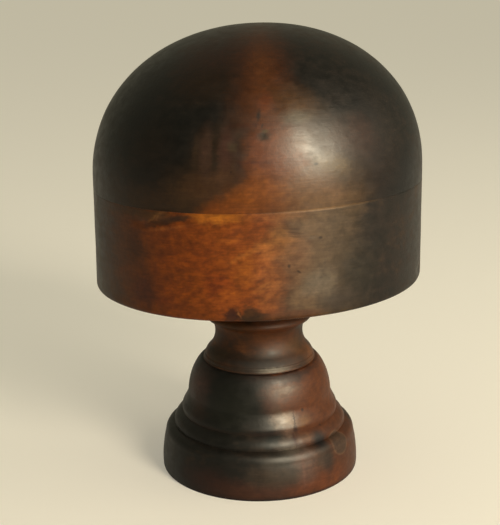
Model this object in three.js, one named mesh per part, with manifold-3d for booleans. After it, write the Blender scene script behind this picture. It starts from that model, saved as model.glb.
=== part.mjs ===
// A milliner's hat block on its turned wooden stand, in millimetres, +Z up.
// The origin is the centre of the foot's underside, on the surface that the stand rests on.
// +X is the side towards which the block's rim and glue seam climb; -Y is the front.
// The foot and the neck are glued and wedged together. A loose peg stands in the neck,
// and the crown, built from two layers and their dowels, drops over the peg and turns on it.

import * as THREE from 'three';
import { mergeVertices } from 'three/addons/utils/BufferGeometryUtils.js';
import Module from 'manifold-3d';

const wasm = await Module();
wasm.setup();

// Clearances shared by all the joints
const glueGap = 0.3;
const runningGap = 0.3;
const cutOverrun = 2;

// Foot: hollowed underside, drum, bead between two grooves, and bell
const hollowRadius = 40;
const hollowDepth = 2.5;
const drumFootRadius = 55.8;
const drumBellyRadius = 56.5;
const drumTopRadius = 53.9;
const drumSideHeight = 20.8;
const shoulderRadius = 53.4;
const shoulderEndRadius = 50;
const shoulderHeight = 4.5;
const beadFootRadius = 48.7;
const beadBellyRadius = 49.3;
const beadTopRadius = 44.4;
const beadHeight = 7;
const grooveHeight = 0.8;
const flareFootRadius = 44.3;
const flareThroatRadius = 42.2;
const flareHeight = 10;
const bellFootRadius = 40.6;
const bellBellyRadius = 39.8;
const bellTopRadius = 34;
const bellHeight = 18.6;
const quirkRadius = 31.3;
const quirkHeight = 1.3;

// Neck: tenon, fillet ring, roll, waist, collar bead, scotia and platform
const tenonRadius = 15;
const filletRadius = 32.3;
const filletHeight = 1.9;
const rollFootRadius = 31.3;
const rollBellyRadius = 30.3;
const rollTopRadius = 27.9;
const rollHeight = 3.8;
const waistRadius = 24.6;
const lowerCoveHeight = 9;
const upperCoveHeight = 7.4;
const collarFootRadius = 28.6;
const collarBellyRadius = 32.4;
const collarHeight = 6;
const scotiaRadius = 27.6;
const scotiaHeight = 15;
const platformRadius = 44;
const platformHeight = 6;
const platformLip = 1.2;

// Wedge driven into the tenon's end
const wedgeFootThickness = 4;
const wedgeTipThickness = 1.2;
const wedgeLength = 22;
const wedgeWidth = 28;

// Peg that the crown turns on
const pegRadius = 12.5;
const pegChamfer = 1.2;
const pegSunkLength = 34.6;
const pegStandLength = 39.6;

// Crown: a lower layer, a domed upper layer, and the dowels that register them
const crownRadius = 89;
const rimFlare = 0.4;
const rimRounding = 2.4;
const bandHeight = 53.45;
const domeSideHeight = 5.3;
const domeHeight = 77.65;
const domeFullness = 2.12;
const seamChamfer = 0.4;
const seatDepth = 1.5;
const seatRadius = 46;
const dowelRadius = 5;
const dowelChamfer = 0.8;
const dowelLength = 24;
const dowelRingRadius = 58;
const dowelCount = 4;

// The underside and the seam are out of square: their rise for each unit of length towards +X
const slopeShare = 0.0268;

// Where an edge's curve is pulled to, as shares of the height that the curve spans
const drumBellyShare = 0.45;
const shoulderPullShare = 0.75;
const beadPullShare = 0.58;
const flarePullShare = 0.38;
const bellPullShare = 0.55;
const rollPullShare = 0.6;
const lowerCovePullShare = 0.37;
const upperCovePullShare = 0.72;
const middleShare = 0.5;

// Fineness of the turned surfaces
const turningSides = 64;
const pegSides = 32;
const curveSteps = 4;
const domeSteps = 18;
const weldDistance = 0.0005;

// Heights in the stand, from the floor up
const shoulderFoot = drumSideHeight;
const shoulderTop = shoulderFoot + shoulderHeight;
const beadFoot = shoulderTop + grooveHeight;
const beadTop = beadFoot + beadHeight;
const flareFoot = beadTop + grooveHeight;
const bellFoot = flareFoot + flareHeight;
const bellTop = bellFoot + bellHeight;
const footTop = bellTop + quirkHeight;
const neckFoot = footTop + glueGap;
const rollFoot = neckFoot + filletHeight;
const lowerCoveFoot = rollFoot + rollHeight;
const waistHeight = lowerCoveFoot + lowerCoveHeight;
const collarFoot = waistHeight + upperCoveHeight;
const collarTop = collarFoot + collarHeight;
const platformFoot = collarTop + scotiaHeight;
const platformTop = platformFoot + platformHeight;

// Heights of the peg and the crown
const socketFloor = platformTop - pegSunkLength - runningGap;
const pegLength = pegSunkLength + pegStandLength;
const crownFoot = platformTop + runningGap - seatDepth;
const crownSocketDepth = seatDepth + pegStandLength;

const darkWood = { roughness: 0.38, metalness: 0 };
const materials = {
	foot: new THREE.MeshStandardMaterial( { color: 0x5a3a28, ...darkWood } ),
	neck: new THREE.MeshStandardMaterial( { color: 0x644330, ...darkWood } ),
	band: new THREE.MeshStandardMaterial( { color: 0x8a4f26, ...darkWood } ),
	dome: new THREE.MeshStandardMaterial( { color: 0x5e4130, ...darkWood } ),
	peg: new THREE.MeshStandardMaterial( { color: 0xb08a5c, roughness: 0.55, metalness: 0 } ),
	dowel: new THREE.MeshStandardMaterial( { color: 0xb9976a, roughness: 0.7, metalness: 0 } ),
	wedge: new THREE.MeshStandardMaterial( { color: 0x9a7446, roughness: 0.65, metalness: 0 } )
};

// Turns an outline, drawn as radius and height, about the vertical axis.
function turned( outline, sides = turningSides ) {

	const geometry = new THREE.LatheGeometry( outline.getPoints( curveSteps ), sides );
	return geometry.rotateX( Math.PI / 2 );

}

// A plain round bar between two heights, which cuts a level seat or a pin's bore.
function bore( radius, from, to, sides = turningSides ) {

	const geometry = new THREE.CylinderGeometry( radius, radius, to - from, sides );
	geometry.rotateX( Math.PI / 2 );
	return geometry.translate( 0, 0, ( from + to ) / 2 );

}

// Welds a closed geometry and turns it into a solid that can be cut.
function toSolid( geometry ) {

	const bare = geometry.clone();
	bare.deleteAttribute( 'normal' );
	bare.deleteAttribute( 'uv' );
	const welded = mergeVertices( bare, weldDistance );
	const corners = welded.index.array;
	const kept = [];
	for ( let i = 0; i < corners.length; i += 3 ) {

		const [ a, b, c ] = [ corners[ i ], corners[ i + 1 ], corners[ i + 2 ] ];
		if ( a !== b && b !== c && c !== a ) kept.push( a, b, c );

	}

	return new wasm.Manifold( new wasm.Mesh( {
		numProp: 3,
		vertProperties: new Float32Array( welded.attributes.position.array ),
		triVerts: new Uint32Array( kept )
	} ) );

}

// Turns a cut solid back into a geometry.
function toGeometry( solid ) {

	const cut = solid.getMesh();
	const geometry = new THREE.BufferGeometry();
	geometry.setAttribute( 'position', new THREE.BufferAttribute( cut.vertProperties, 3 ) );
	geometry.setIndex( new THREE.BufferAttribute( cut.triVerts, 1 ) );
	geometry.computeVertexNormals();
	return geometry;

}

// Cuts a list of tools out of a body.
function cutFrom( body, tools ) {

	let solid = toSolid( body );
	for ( const tool of tools ) solid = solid.subtract( toSolid( tool ) );
	return toGeometry( solid );

}

function named( name, geometry, material ) {

	const mesh = new THREE.Mesh( geometry, material );
	mesh.name = name;
	return mesh;

}

// The foot is bored right through for the neck's tenon.
function footGeometry() {

	const mortiseRadius = tenonRadius + glueGap;
	const outline = new THREE.Path();
	outline.moveTo( mortiseRadius, hollowDepth );
	outline.lineTo( hollowRadius, hollowDepth );
	outline.lineTo( hollowRadius + hollowDepth, 0 );
	outline.lineTo( drumFootRadius, 0 );
	outline.quadraticCurveTo(
		drumBellyRadius, drumSideHeight * drumBellyShare,
		drumTopRadius, shoulderFoot
	);
	outline.quadraticCurveTo(
		shoulderRadius, shoulderFoot + shoulderHeight * shoulderPullShare,
		shoulderEndRadius, shoulderTop
	);
	outline.lineTo( beadFootRadius, beadFoot );
	outline.quadraticCurveTo(
		beadBellyRadius, beadFoot + beadHeight * beadPullShare,
		beadTopRadius, beadTop
	);
	outline.lineTo( flareFootRadius, flareFoot );
	outline.quadraticCurveTo(
		flareThroatRadius, flareFoot + flareHeight * flarePullShare,
		bellFootRadius, bellFoot
	);
	outline.quadraticCurveTo(
		bellBellyRadius, bellFoot + bellHeight * bellPullShare,
		bellTopRadius, bellTop
	);
	outline.lineTo( quirkRadius, footTop );
	outline.lineTo( mortiseRadius, footTop );
	outline.lineTo( mortiseRadius, hollowDepth );
	return turned( outline );

}

// A wedge standing on its thick end, across the grain, grown all round by a clearance.
function wedgeGeometry( clearance, width ) {

	const foot = wedgeFootThickness / 2 + clearance;
	const tip = wedgeTipThickness / 2 + clearance;
	const top = wedgeLength + clearance;
	const outline = new THREE.Shape();
	outline.moveTo( - foot, - clearance );
	outline.lineTo( foot, - clearance );
	outline.lineTo( tip, top );
	outline.lineTo( - tip, top );
	outline.closePath();
	const geometry = new THREE.ExtrudeGeometry( outline, { depth: width, bevelEnabled: false } );
	geometry.rotateX( Math.PI / 2 );
	return geometry.translate( 0, width / 2, hollowDepth );

}

// The neck carries its tenon below, and the peg's socket and the platform above.
function neckGeometry() {

	const socketRadius = pegRadius + runningGap;
	const filletEdge = filletHeight * middleShare;
	const scotiaMiddle = collarTop + scotiaHeight * middleShare;
	const outline = new THREE.Path();
	outline.moveTo( 0, hollowDepth );
	outline.lineTo( tenonRadius, hollowDepth );
	outline.lineTo( tenonRadius, neckFoot );
	outline.lineTo( quirkRadius, neckFoot );
	outline.lineTo( filletRadius, neckFoot + filletEdge );
	outline.lineTo( rollFootRadius, rollFoot );
	outline.quadraticCurveTo(
		rollBellyRadius, rollFoot + rollHeight * rollPullShare,
		rollTopRadius, lowerCoveFoot
	);
	outline.quadraticCurveTo(
		waistRadius, lowerCoveFoot + lowerCoveHeight * lowerCovePullShare,
		waistRadius, waistHeight
	);
	outline.quadraticCurveTo(
		waistRadius, waistHeight + upperCoveHeight * upperCovePullShare,
		collarFootRadius, collarFoot
	);
	outline.quadraticCurveTo(
		collarBellyRadius, collarFoot + collarHeight * middleShare,
		collarFootRadius, collarTop
	);
	outline.lineTo( scotiaRadius, collarTop + grooveHeight );
	outline.quadraticCurveTo(
		scotiaRadius, scotiaMiddle,
		( scotiaRadius + platformRadius ) / 2, platformFoot - platformLip
	);
	outline.quadraticCurveTo(
		platformRadius - platformLip, platformFoot,
		platformRadius, platformFoot + platformLip
	);
	outline.lineTo( platformRadius, platformTop - platformLip );
	outline.lineTo( platformRadius - platformLip, platformTop );
	outline.lineTo( socketRadius, platformTop );
	outline.lineTo( socketRadius, socketFloor );
	outline.lineTo( 0, socketFloor );
	const slot = wedgeGeometry( glueGap, ( tenonRadius + cutOverrun ) * 2 );
	return cutFrom( turned( outline ), [ slot ] );

}

// A round pin standing on the origin, with both ends chamfered.
function pinGeometry( radius, length, chamfer ) {

	const outline = new THREE.Path();
	outline.moveTo( 0, 0 );
	outline.lineTo( radius - chamfer, 0 );
	outline.lineTo( radius, chamfer );
	outline.lineTo( radius, length - chamfer );
	outline.lineTo( radius - chamfer, length );
	outline.lineTo( 0, length );
	return turned( outline, pegSides );

}

// Slopes a layer of the crown: its level faces climb towards +X and its sides stay upright.
function sloped( geometry ) {

	const slope = new THREE.Matrix4().makeShear( 0, slopeShare, 0, 0, 0, 0 );
	return geometry.applyMatrix4( slope );

}

// The places of the register dowels round the crown, half way between the front and the sides.
function dowelPlaces() {

	const places = [];
	for ( let i = 0; i < dowelCount; i ++ ) {

		const angle = 2 * Math.PI * ( i + middleShare ) / dowelCount;
		const x = dowelRingRadius * Math.cos( angle );
		const y = dowelRingRadius * Math.sin( angle );
		places.push( new THREE.Vector3( x, y, bandHeight + glueGap / 2 + slopeShare * x ) );

	}

	return places;

}

// Bores for the dowels, which stand half in each layer.
function dowelBores() {

	const reach = dowelLength / 2 + glueGap;
	return dowelPlaces().map( ( place ) => {

		const hole = bore( dowelRadius + glueGap, - reach, reach, pegSides );
		return hole.translate( place.x, place.y, place.z );

	} );

}

// The lower layer: rounded rim, level seat for the platform, and the peg's socket.
function bandGeometry() {

	const rimRadius = crownRadius + rimFlare;
	const outline = new THREE.Path();
	outline.moveTo( 0, 0 );
	outline.lineTo( rimRadius - rimRounding, 0 );
	outline.quadraticCurveTo( rimRadius, 0, rimRadius, rimRounding );
	outline.lineTo( crownRadius, bandHeight - seamChamfer );
	outline.lineTo( crownRadius - seamChamfer, bandHeight );
	outline.lineTo( 0, bandHeight );
	const seat = bore( seatRadius, - seatRadius * slopeShare - cutOverrun, seatDepth );
	const socket = bore( pegRadius + runningGap, 0, crownSocketDepth );
	return cutFrom( sloped( turned( outline ) ), [ seat, socket, ...dowelBores() ] );

}

// The upper layer: a short upright side and a dome that is a little fuller than an ellipse.
function domeGeometry() {

	const foot = bandHeight + glueGap;
	const springing = foot + domeSideHeight;
	const outline = [ new THREE.Vector2( 0, foot ) ];
	outline.push( new THREE.Vector2( crownRadius - seamChamfer, foot ) );
	outline.push( new THREE.Vector2( crownRadius, foot + seamChamfer ) );
	for ( let i = 0; i < domeSteps; i ++ ) {

		const angle = Math.PI / 2 * i / domeSteps;
		const radius = crownRadius * Math.cos( angle ) ** ( 2 / domeFullness );
		const height = domeHeight * Math.sin( angle ) ** ( 2 / domeFullness );
		outline.push( new THREE.Vector2( radius, springing + height ) );

	}

	outline.push( new THREE.Vector2( 0, springing + domeHeight ) );
	const body = new THREE.LatheGeometry( outline, turningSides ).rotateX( Math.PI / 2 );
	return cutFrom( sloped( body ), dowelBores() );

}

function makeStand() {

	const stand = new THREE.Group();
	stand.add( named( 'pedestal_foot', footGeometry(), materials.foot ) );
	stand.add( named( 'pedestal_neck', neckGeometry(), materials.neck ) );
	stand.add( named( 'tenon_wedge', wedgeGeometry( 0, wedgeWidth ), materials.wedge ) );
	return stand;

}

function makePeg() {

	const peg = named( 'turning_peg', pinGeometry( pegRadius, pegLength, pegChamfer ), materials.peg );
	peg.position.z = platformTop - pegSunkLength;
	return peg;

}

function makeCrown() {

	const crown = new THREE.Group();
	crown.position.z = crownFoot;
	crown.add( named( 'crown_band', bandGeometry(), materials.band ) );
	crown.add( named( 'crown_dome', domeGeometry(), materials.dome ) );
	dowelPlaces().forEach( ( place, i ) => {

		const pin = pinGeometry( dowelRadius, dowelLength, dowelChamfer );
		const dowel = named( `register_dowel_${ i + 1 }`, pin, materials.dowel );
		dowel.position.set( place.x, place.y, place.z - dowelLength / 2 );
		crown.add( dowel );

	} );
	return crown;

}

const hatBlockStand = new THREE.Group();
hatBlockStand.add( makeStand(), makePeg(), makeCrown() );

export default hatBlockStand;
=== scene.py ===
"""Hat block stand: a domed block of dark turned wood on a turned pedestal with a bell foot.

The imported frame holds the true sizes. This script spins a finer piece over each node that shows,
wears it as a workshop would, dresses it in old varnished wood, and lights it softly.
"""

import logging
import math
from dataclasses import dataclass, field
from enum import Enum

import bmesh
import bpy
from mathutils import Matrix, Vector, noise


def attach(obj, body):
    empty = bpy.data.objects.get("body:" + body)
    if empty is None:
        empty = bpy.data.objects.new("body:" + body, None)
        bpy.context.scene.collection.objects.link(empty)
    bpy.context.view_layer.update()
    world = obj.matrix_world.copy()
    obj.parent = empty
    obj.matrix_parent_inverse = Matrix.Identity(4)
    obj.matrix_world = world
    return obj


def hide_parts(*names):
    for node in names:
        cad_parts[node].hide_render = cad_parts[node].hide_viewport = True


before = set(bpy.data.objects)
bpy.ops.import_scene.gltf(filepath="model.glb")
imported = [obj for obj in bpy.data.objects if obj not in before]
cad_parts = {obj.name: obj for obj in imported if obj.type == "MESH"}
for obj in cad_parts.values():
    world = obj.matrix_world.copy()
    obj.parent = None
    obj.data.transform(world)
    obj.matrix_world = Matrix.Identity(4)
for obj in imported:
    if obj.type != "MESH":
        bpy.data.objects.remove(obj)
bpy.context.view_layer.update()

log = logging.getLogger("hat_block_stand")
Shape = bmesh.types.BMesh
Tree = bpy.types.NodeTree
Socket = bpy.types.NodeSocket

# One millimetre in metres.
MM = 0.001
# How far the crown's rim and seam climb towards +X, as height for width.
SLOPE = 0.0268
# The height of the crown's seam at the axis, to a tenth of a millimetre.
SEAM_RISE = 165.4
# How near to a seam, in millimetres, its two layers are held flush.
FLUSH_REACH = 6.0
# How high above the floor, in millimetres, a piece is held true so that it stands flat.
TRUE_FOOT = 2.0
# Faces that meet at more than this many degrees show a sharp edge.
EDGE_ANGLE = 34.0
# A face whose normal has less than this along Z is an underside.
FACING_DOWN = -0.98


class Outline:
    """The outline of a turned piece, as pairs of radius and height in millimetres."""

    def __init__(self, radius: float, height: float) -> None:
        """Start the outline at one point."""
        self.points: list[tuple[float, float]] = [(radius, height)]
        self.rounding: dict[int, float] = {}

    def line(self, radius: float, height: float, rows: int = 1, ease: float = 0.0) -> "Outline":
        """Run straight to a point.

        Args:
            radius: The new point's distance from the axis.
            height: The new point's height.
            rows: How many rows of faces the line is cut into.
            ease: How far back from the new point the corner's rounding begins.

        Returns:
            The outline itself, so that the next stretch can follow.
        """
        start_radius, start_height = self.points[-1]
        for row in range(1, rows + 1):
            share = row / rows
            across = start_radius + (radius - start_radius) * share
            up = start_height + (height - start_height) * share
            self.points.append((across, up))
        if ease:
            self.rounding[len(self.points) - 1] = ease
        return self

    def bend(self, radius: float, height: float, pull: tuple[float, float], rows: int = 12,
             ease: float = 0.0) -> "Outline":
        """Run to a point along a curve that is pulled towards a second point.

        Args:
            radius: The new point's distance from the axis.
            height: The new point's height.
            pull: The radius and height that the curve leans towards.
            rows: How many rows of faces the curve is cut into.
            ease: How far back from the new point the corner's rounding begins.

        Returns:
            The outline itself, so that the next stretch can follow.
        """
        start_radius, start_height = self.points[-1]
        for row in range(1, rows + 1):
            share = row / rows
            rest = 1.0 - share
            across = rest * rest * start_radius + 2.0 * rest * share * pull[0] + share * share * radius
            up = rest * rest * start_height + 2.0 * rest * share * pull[1] + share * share * height
            self.points.append((across, up))
        if ease:
            self.rounding[len(self.points) - 1] = ease
        return self

    def turned(self, sides: int) -> Shape:
        """Spin the outline once round the upright axis into a closed shape.

        Args:
            sides: How many faces go round the piece.

        Returns:
            The closed shape, in metres.
        """
        shape = bmesh.new()
        rail = [shape.verts.new((radius * MM, 0.0, height * MM)) for radius, height in self.points]
        for start, end in zip(rail, rail[1:]):
            shape.edges.new((start, end))
        if self.points[0][0] > 0.0:
            shape.edges.new((rail[-1], rail[0]))
        for ease in sorted(set(self.rounding.values())):
            corners = [rail[place] for place, size in self.rounding.items() if size == ease]
            bmesh.ops.bevel(shape, geom=corners, offset=ease * MM, offset_type="OFFSET", segments=3,
                            profile=0.5, affect="VERTICES", material=-1)
        bmesh.ops.spin(shape, geom=shape.verts[:] + shape.edges[:], axis=(0.0, 0.0, 1.0),
                       cent=(0.0, 0.0, 0.0), dvec=(0.0, 0.0, 0.0), angle=math.tau, steps=sides,
                       use_merge=True)
        bmesh.ops.remove_doubles(shape, verts=shape.verts, dist=1e-6)
        bmesh.ops.recalc_face_normals(shape, faces=shape.faces)
        return shape


@dataclass(frozen=True)
class Dent:
    """A place where the surface has been knocked or split away.

    Its place is the turn in degrees from the front towards +X and the height. Its half width
    along the turning, half height and depth are in millimetres, and its lean is in degrees.
    """

    turn: float
    height: float
    half_width: float
    half_height: float
    depth: float
    lean: float = 0.0


@dataclass(frozen=True)
class Wear:
    """How far a turned surface has drifted from its outline, in millimetres.

    The drift has a depth, a spread from one low place to the next, and a seed. Points nearer the
    axis than the inner radius stay. Heights are measured along the slope. Close to the height of
    a glued seam the drift is small, so that both layers stay flush, and a seam far below the
    piece means that it has none.
    """

    depth: float
    spread: float
    seed: float
    inner: float
    slope: float = 0.0
    seam: float = -100.0
    dents: tuple[Dent, ...] = ()

    def apply(self, shape: Shape) -> None:
        """Move the outside of a shape in and out.

        Args:
            shape: The shape, in metres. Points nearer the axis than the inner radius stay.
        """
        shift = Vector((self.seed, -self.seed, 0.5 * self.seed))
        for point in shape.verts:
            across = math.hypot(point.co.x, point.co.y) / MM
            if across < self.inner:
                continue
            up = point.co.z / MM
            turn = math.degrees(math.atan2(point.co.x, -point.co.y))
            push = self.depth * noise.noise(point.co / (self.spread * MM) + shift)
            push += 0.3 * self.depth * noise.noise(point.co / (0.3 * self.spread * MM) - shift)
            level = up - self.slope * point.co.x / MM
            push *= min(1.0, 0.2 + abs(level - self.seam) / FLUSH_REACH)
            push -= sum(self.sunk(dent, turn, level, across) for dent in self.dents)
            hold = min(1.0, max(0.0, up / TRUE_FOOT))
            point.co.x *= 1.0 + hold * push / across
            point.co.y *= 1.0 + hold * push / across

    @staticmethod
    def sunk(dent: Dent, turn: float, level: float, across: float) -> float:
        """Tell how deep a dent is at one place.

        Args:
            dent: The dent.
            turn: The place's turn in degrees.
            level: The place's height in millimetres.
            across: The place's distance from the axis in millimetres.

        Returns:
            The depth in millimetres.
        """
        along = math.radians(turn - dent.turn) * across
        up = level - dent.height
        lean = math.radians(dent.lean)
        first = (along * math.cos(lean) + up * math.sin(lean)) / dent.half_width
        second = (up * math.cos(lean) - along * math.sin(lean)) / dent.half_height
        away = math.hypot(first, second)
        if away >= 1.0:
            return 0.0
        return dent.depth * (1.0 - away * away) ** 1.5


def linear(code: str, share: float = 1.0) -> tuple[float, float, float, float]:
    """Turn an sRGB hex value to linear light.

    Args:
        code: The colour as six hex digits after a hash.
        share: A share of the colour's light, for a darker or lighter one.

    Returns:
        The colour as red, green, blue and one.
    """
    levels = [int(code[start:start + 2], 16) / 255.0 for start in (1, 3, 5)]
    light = [level / 12.92 if level <= 0.04045 else ((level + 0.055) / 1.055) ** 2.4 for level in levels]
    return light[0] * share, light[1] * share, light[2] * share, 1.0


def add(tree: Tree, kind: str, settings: dict | None = None,
        links: dict | None = None) -> bpy.types.Node:
    """Add a node with its settings and links.

    Args:
        tree: The material's node tree.
        kind: The node's Blender type.
        settings: Values for the node's options and for its inputs, by name or number.
        links: Outputs of other nodes for its inputs, by name or number.

    Returns:
        The new node.
    """
    node = tree.nodes.new(kind)
    for name, value in (settings or {}).items():
        if isinstance(name, str) and hasattr(node, name):
            setattr(node, name, value)
        else:
            node.inputs[name].default_value = value
    for name, output in (links or {}).items():
        tree.links.new(output, node.inputs[name])
    return node


class Edge(Enum):
    """How the edge of a mark runs: its warp in millimetres and whether it follows the turning."""

    CLEAN = (0.0, False)
    FAINT = (1.6, False)
    SOFT = (4.0, False)
    RAGGED = (9.0, False)
    STREAKED = (10.0, True)


@dataclass(frozen=True)
class Mark:
    """A patch of another colour: worn varnish, a stain, a smudge, a chip, a painted highlight or a painted
    shadow.

    Its place is the turn in degrees from the front towards +X and the height. Its half width
    along the turning and its half height are in millimetres, and its lean is in degrees. The
    strength is how far it covers, and the blur is the share of it that fades out. The figure is
    how strongly the wood's figure shows in it, and the dullness is the roughness that it adds.
    """

    turn: float
    height: float
    half_width: float
    half_height: float
    colour: str
    strength: float = 1.0
    blur: float = 0.6
    lean: float = 0.0
    edge: Edge = Edge.SOFT
    figure: float = 0.0
    dullness: float = 0.0


@dataclass(frozen=True)
class Ring:
    """A band of another colour all the way round, darker or lighter, over a groove, a bead or a corner.

    Its height, half height and patch size are in millimetres.
    """

    height: float
    half_height: float
    colour: str
    strength: float = 0.6
    patchiness: float = 0.5
    patch_size: float = 18.0


@dataclass(frozen=True)
class OldWood:
    """Turned hardwood under old hand-rubbed varnish, which looks deep, uneven and softly glossy.

    The sizes of its patterns are in millimetres: clouds as broad as a palm, streaks as fine as
    the marks of a turning tool, and grain and flecks a little coarser than real pores so that
    they show. Depths are shares of the colour's light.
    """

    name: str
    ground: str
    shade: str
    glow: str
    ground_stops: tuple[float, float, float] = (0.33, 0.50, 0.72)
    cloud_size: float = 45.0
    drift_sizes: tuple[float, float, float] = (38.0, 38.0, 5.0)
    streak_run: float = 14.0
    streak_gap: float = 0.9
    streak_depth: float = 0.12
    grain_size: float = 2.4
    grain_depth: float = 0.15
    patina_sizes: tuple[float, float, float] = (6.0, 6.0, 4.0)
    patina_depth: float = 0.12
    figure_size: float = 2.6
    figure_stretch: float = 1.9
    figure_lean: float = 18.0
    figure_depth: float = 0.12
    figure_low: tuple[float, float, float] = (0.46, 0.36, 0.30)
    figure_high: tuple[float, float, float] = (1.52, 1.60, 1.60)
    fleck_gap: float = 9.0
    fleck_core: float = 0.3
    fleck_edge: float = 0.9
    roughness: float = 0.44
    roughness_spread: float = 0.12
    specular_level: float = 0.17
    bump: float = 0.12
    slope: float = 0.0
    seed: float = 0.0
    marks: tuple[Mark, ...] = ()
    rings: tuple[Ring, ...] = ()

    def material(self) -> bpy.types.Material:
        """Make the finish as a material.

        Returns:
            The material, with its nodes.
        """
        made = bpy.data.materials.new(self.name)
        made.use_nodes = True
        tree = made.node_tree
        tree.nodes.clear()
        place = add(tree, "ShaderNodeTexCoord").outputs["Object"]
        place_mm = add(tree, "ShaderNodeVectorMath", {"operation": "SCALE", "Scale": 1.0 / MM},
                       {0: place}).outputs[0]
        place_mm = add(tree, "ShaderNodeVectorMath", {"operation": "ADD", 1: (self.seed, self.seed, 0.0)},
                       {0: place_mm}).outputs[0]
        cloud = self.pattern(tree, place_mm, (self.cloud_size,) * 3, 4.0)
        streak = self.pattern(tree, place_mm, (self.streak_run, self.streak_run, self.streak_gap), 3.0)
        drift = self.pattern(tree, place_mm, self.drift_sizes, 3.0)
        patina = self.pattern(tree, place_mm, self.patina_sizes, 4.0)
        colour = self.grounds(tree, cloud, drift, patina)
        unrolled, across = self.unrolled(tree, place)
        leaned = add(tree, "ShaderNodeMapping", {"Rotation": (0.0, 0.0, math.radians(-self.figure_lean)),
                                                 "Location": (self.seed, 0.0, 0.0)},
                     {"Vector": unrolled}).outputs[0]
        figure_sizes = (self.figure_stretch * self.figure_size, self.figure_size, 1.0)
        figure = self.pattern(tree, leaned, figure_sizes, 6.0)
        colour = self.ringed(tree, colour, unrolled, place_mm)
        colour, figure_share, dullness = self.marked(tree, colour, unrolled, across, place_mm)
        colour = self.figured(tree, colour, figure, figure_share)
        colour = self.streaked(tree, colour, streak, self.streak_depth)
        grain = self.pattern(tree, place_mm, (self.grain_size,) * 3, 4.0)
        colour = self.streaked(tree, colour, grain, self.grain_depth)
        colour = self.streaked(tree, colour, patina, self.patina_depth)
        colour = self.flecked(tree, colour, place_mm)
        roughness = self.dulled(tree, patina, dullness)
        height = add(tree, "ShaderNodeMath", {"operation": "MULTIPLY_ADD", 1: 0.5},
                     {0: streak, 2: grain}).outputs[0]
        bump = add(tree, "ShaderNodeBump", {"Strength": self.bump, "Distance": 0.6 * MM},
                   {"Height": height}).outputs[0]
        shader = add(tree, "ShaderNodeBsdfPrincipled",
                     {"Specular IOR Level": self.specular_level, "IOR": 1.5},
                     {"Base Color": colour, "Roughness": roughness, "Normal": bump})
        add(tree, "ShaderNodeOutputMaterial", links={"Surface": shader.outputs[0]})
        return made

    @staticmethod
    def pattern(tree: Tree, place_mm: Socket, sizes: tuple[float, float, float], detail: float) -> Socket:
        """Lay a cloudy pattern in the wood.

        Args:
            tree: The material's node tree.
            place_mm: The place on the surface in millimetres.
            sizes: The size of the pattern along X, Y and Z in millimetres.
            detail: How many finer layers it has.

        Returns:
            The pattern's value from zero to one.
        """
        squeezed = add(tree, "ShaderNodeVectorMath", {"operation": "DIVIDE", 1: sizes},
                       {0: place_mm}).outputs[0]
        clouds = add(tree, "ShaderNodeTexNoise", {"Scale": 1.0, "Detail": detail, "Roughness": 0.55},
                     {"Vector": squeezed})
        return clouds.outputs["Fac"]

    def grounds(self, tree: Tree, cloud: Socket, drift: Socket, patina: Socket) -> Socket:
        """Blend the wood's three grounds in soft clouds that drift with the turning.

        Args:
            tree: The material's node tree.
            cloud: The broad clouds.
            drift: The clouds that are drawn out along the turning.
            patina: The small patches left by handling.

        Returns:
            The blended colour.
        """
        blend = add(tree, "ShaderNodeMath", {"operation": "MULTIPLY_ADD", 1: 0.35},
                    {0: drift, 2: cloud}).outputs[0]
        blend = add(tree, "ShaderNodeMath", {"operation": "MULTIPLY_ADD", 1: 0.5},
                    {0: patina, 2: blend}).outputs[0]
        blend = add(tree, "ShaderNodeMath", {"operation": "SUBTRACT", 1: 0.425}, {0: blend}).outputs[0]
        ramp = add(tree, "ShaderNodeValToRGB", links={"Fac": blend})
        stops = ramp.color_ramp.elements
        stops[0].position = self.ground_stops[0]
        stops[0].color = linear(self.shade)
        stops[1].position = self.ground_stops[2]
        stops[1].color = linear(self.glow)
        middle = stops.new(self.ground_stops[1])
        middle.color = linear(self.ground)
        return ramp.outputs["Color"]

    def unrolled(self, tree: Tree, place: Socket) -> tuple[Socket, Socket]:
        """Unroll the surface into millimetres.

        Args:
            tree: The material's node tree.
            place: The place on the surface in metres.

        Returns:
            The way round and the height as X and Y, and the distance from the axis as X alone.
        """
        parts = add(tree, "ShaderNodeSeparateXYZ", links={"Vector": place}).outputs
        back = add(tree, "ShaderNodeMath", {"operation": "MULTIPLY", 1: -1.0}, {0: parts["Y"]}).outputs[0]
        turn = add(tree, "ShaderNodeMath", {"operation": "ARCTAN2"}, {0: parts["X"], 1: back}).outputs[0]
        flat = add(tree, "ShaderNodeVectorMath", {"operation": "MULTIPLY", 1: (1.0 / MM, 1.0 / MM, 0.0)},
                   {0: place}).outputs[0]
        across = add(tree, "ShaderNodeVectorMath", {"operation": "LENGTH"}, {0: flat}).outputs["Value"]
        along = add(tree, "ShaderNodeMath", {"operation": "MULTIPLY"}, {0: turn, 1: across}).outputs[0]
        fall = add(tree, "ShaderNodeMath", {"operation": "MULTIPLY_ADD", 1: -self.slope},
                   {0: parts["X"], 2: parts["Z"]}).outputs[0]
        up = add(tree, "ShaderNodeMath", {"operation": "DIVIDE", 1: MM}, {0: fall}).outputs[0]
        unrolled = add(tree, "ShaderNodeCombineXYZ", links={"X": along, "Y": up}).outputs[0]
        return unrolled, add(tree, "ShaderNodeCombineXYZ", links={"X": across}).outputs[0]

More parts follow.
